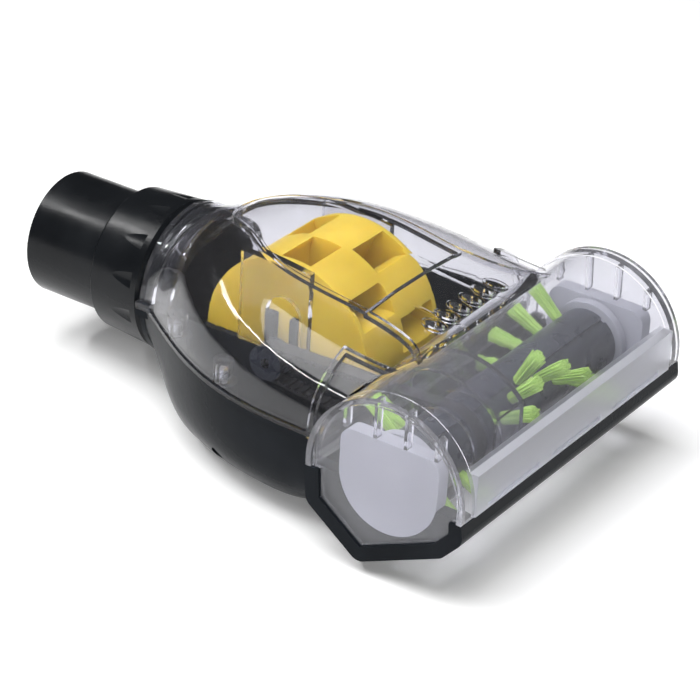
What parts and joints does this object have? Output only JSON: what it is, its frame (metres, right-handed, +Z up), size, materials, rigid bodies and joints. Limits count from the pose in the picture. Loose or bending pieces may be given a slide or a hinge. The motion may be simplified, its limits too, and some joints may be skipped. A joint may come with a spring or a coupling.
{
  "type": "vacuum_turbo_brush",
  "caption": "Air-driven turbo brush for a vacuum cleaner: clear bell-shaped turbine housing, bristle roller under a clear hood, black lower housing and a swivel collar with a tube for the wand.",
  "frame": {"origin": "Centre of the wand tube's open mouth, on the tube's axis", "axes": "+Y out of the tube's mouth along its axis, +X to the right seen from behind along the roller, +Z up"},
  "size_m": [0.121, 0.1875, 0.0661],
  "materials": {
    "black_plastic": "satin gloss moulded plastic",
    "clear_plastic": "clear moulded plastic with a faint grey tint",
    "frosted_plastic": "frosted translucent plastic",
    "yellow_plastic": "yellow moulded plastic",
    "dark_plastic": "dark grey moulded plastic",
    "green_bristle": "green nylon bristle",
    "black_rubber": "toothed rubber belt",
    "bronze": "sintered bronze",
    "steel": "ground steel"
  },
  "bodies": {
    "housing": {"lower_housing": "black_plastic", "turbine_cover": "clear_plastic", "brush_hood": "clear_plastic", "belt_guard": "clear_plastic", "bearing_block_left": "frosted_plastic", "bearing_block_right": "frosted_plastic", "roller_bush_left": "bronze", "roller_bush_right": "bronze", "turbine_bush_left": "bronze", "turbine_bush_right": "bronze", "drive_belt": "black_rubber", "housing_screws": "steel"},
    "roller": {"roller_core": "dark_plastic", "bristle_tufts": "green_bristle", "roller_shaft": "steel", "roller_pulley": "dark_plastic", "end_ring_left": "frosted_plastic", "end_ring_right": "frosted_plastic", "roller_washers": "steel"},
    "turbine": {"turbine_wheel": "yellow_plastic", "turbine_shaft": "steel", "turbine_pulley": "dark_plastic"},
    "connector": {"wand_tube": "black_plastic", "grip_collar": "black_plastic"}
  },
  "joints": [
    {"name": "turbine_spin", "type": "hinge", "parent": "housing", "child": "turbine", "pos_m": [0, -0.0985, 0], "axis": [1, 0, 0], "continuous": true, "deforming": ["drive_belt"]},
    {"name": "roller_spin", "type": "hinge", "parent": "housing", "child": "roller", "pos_m": [0, -0.161, -0.0028], "axis": [1, 0, 0], "continuous": true},
    {"name": "collar_swivel", "type": "hinge", "parent": "housing", "child": "connector", "pos_m": [0, 0, 0], "axis": [0, 1, 0], "continuous": true}
  ],
  "couplings": [
    {"joint": "roller_spin", "follows": "turbine_spin", "ratio": 0.5}
  ]
}
